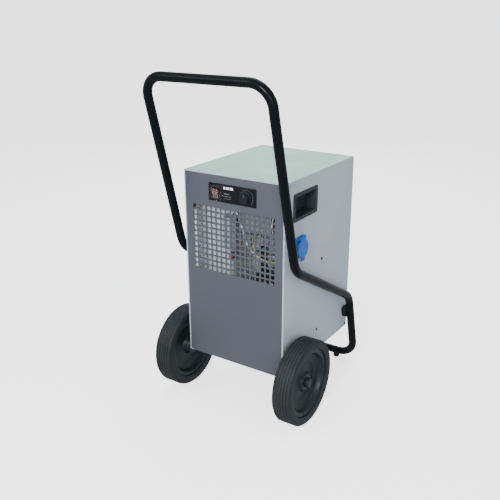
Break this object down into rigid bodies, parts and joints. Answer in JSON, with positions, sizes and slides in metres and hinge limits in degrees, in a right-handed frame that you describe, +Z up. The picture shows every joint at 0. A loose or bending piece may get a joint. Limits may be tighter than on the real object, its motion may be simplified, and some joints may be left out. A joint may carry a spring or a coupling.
{
  "type": "wheeled dehumidifier",
  "caption": "Box-shaped refrigerant dehumidifier on a bent tube trolley frame, with a square-hole inlet grille, recessed grips, panel socket and rear water tank.",
  "frame": {"origin": "on the floor under the middle of the footprint", "axes": "+X to the machine's right side with the socket as seen from the controls, +Y from the control side to the back, +Z up"},
  "size_m": [0.469, 0.57, 0.9753],
  "materials": {
    "dark_panel": "powder coat, fine texture",
    "light_panel": "powder coat, semi-gloss",
    "lid_paint": "powder coat, semi-gloss",
    "black_tube": "powder coat, satin",
    "galvanised": "zinc coated",
    "steel": "bright",
    "black_plastic": "moulded, fine grain",
    "gloss_black": "smooth",
    "clear_cover": "clear flexible plastic",
    "rocker_red": "translucent",
    "blue_plastic": "moulded",
    "rubber": "matt",
    "tyre_rubber": "solid rubber",
    "rim_plastic": "moulded",
    "bush_nylon": "moulded",
    "aluminium_fins": "mill finish",
    "copper": "drawn, slightly oxidised",
    "compressor_paint": "gloss enamel",
    "capacitor_grey": "moulded",
    "red_plastic": "moulded",
    "box_grey": "moulded",
    "wire_blue": "insulation",
    "white_plastic": "moulded",
    "tank_plastic": "moulded",
    "guard_wire": "coated wire"
  },
  "bodies": {
    "housing": {"base_pan": "dark_panel", "machine_deck": "galvanised", "front_panel": "dark_panel", "side_panel_left": "light_panel", "side_panel_right": "light_panel", "top_lid": "lid_paint", "rear_panel": "dark_panel", "outlet_guard": "guard_wire", "bulkhead": "galvanised", "coil_casing": "galvanised", "evaporator_fins": "aluminium_fins", "condenser_fins": "aluminium_fins", "evaporator_tubes": "copper", "condenser_tubes": "copper", "drip_tray": "black_plastic", "drain_tube": "white_plastic", "fan_shroud": "galvanised", "motor_bracket": "black_tube", "fan_motor": "black_tube", "compressor": "compressor_paint", "compressor_mounts": "rubber", "suction_accumulator": "compressor_paint", "suction_pipe": "copper", "discharge_pipe": "copper", "liquid_line": "copper", "filter_drier": "copper", "run_capacitor": "capacitor_grey", "pressure_switch": "red_plastic", "electrics_box": "box_grey", "wires_blue": "wire_blue", "control_fascia": "gloss_black", "switch_body": "black_plastic", "switch_cover": "clear_cover", "humidistat_body": "white_plastic", "grip_cup_left": "black_plastic", "grip_cup_right": "black_plastic", "socket_body": "blue_plastic", "socket_hinge_pin": "steel", "cable_gland": "black_plastic", "tube_frame": "black_tube", "frame_saddles": "black_plastic", "frame_bolts": "steel", "stand_feet": "rubber", "axle": "steel", "axle_brackets": "black_tube", "axle_caps": "rim_plastic", "housing_screws": "steel", "tank_switch": "black_plastic"},
    "fan": {"fan_impeller": "black_plastic"},
    "rocker": {"rocker": "rocker_red"},
    "knob": {"humidistat_knob": "black_plastic"},
    "socket_flap": {"socket_lid": "blue_plastic"},
    "tank": {"water_tank": "tank_plastic"},
    "float": {"tank_float": "white_plastic"},
    "wheel_left": {"wheel_rim_left": "rim_plastic", "tyre_left": "tyre_rubber", "wheel_bush_left": "bush_nylon"},
    "wheel_right": {"wheel_rim_right": "rim_plastic", "tyre_right": "tyre_rubber", "wheel_bush_right": "bush_nylon"}
  },
  "joints": [
    {"name": "wheel_left_spin", "type": "hinge", "parent": "housing", "child": "wheel_left", "pos_m": [-0.207, -0.117, 0.125], "axis": [1, 0, 0], "continuous": true},
    {"name": "wheel_right_spin", "type": "hinge", "parent": "housing", "child": "wheel_right", "pos_m": [0.207, -0.117, 0.125], "axis": [1, 0, 0], "continuous": true},
    {"name": "fan_spin", "type": "hinge", "parent": "housing", "child": "fan", "pos_m": [-0.057, 0.17, 0.48], "axis": [0, 1, 0], "continuous": true},
    {"name": "rocker_tilt", "type": "hinge", "parent": "housing", "child": "rocker", "pos_m": [-0.056, -0.1555, 0.648], "axis": [1, 0, 0], "range_deg": [-16, 0]},
    {"name": "knob_turn", "type": "hinge", "parent": "housing", "child": "knob", "pos_m": [0.047, -0.165, 0.649], "axis": [0, 1, 0], "range_deg": [-135, 135]},
    {"name": "socket_flap_hinge", "type": "hinge", "parent": "housing", "child": "socket_flap", "pos_m": [0.1725, -0.0755, 0.5365], "axis": [0, -1, 0], "range_deg": [0, 110], "stiffness_Nm_per_rad": 0.05, "springref_deg": -28.65},
    {"name": "tank_slide", "type": "slide", "parent": "housing", "child": "tank", "axis": [0, 1, 0], "range_m": [0, 0.27]},
    {"name": "float_pivot", "type": "hinge", "parent": "tank", "child": "float", "pos_m": [-0.119, 0.06, 0.292], "axis": [1, 0, 0], "range_deg": [0, 12]}
  ]
}
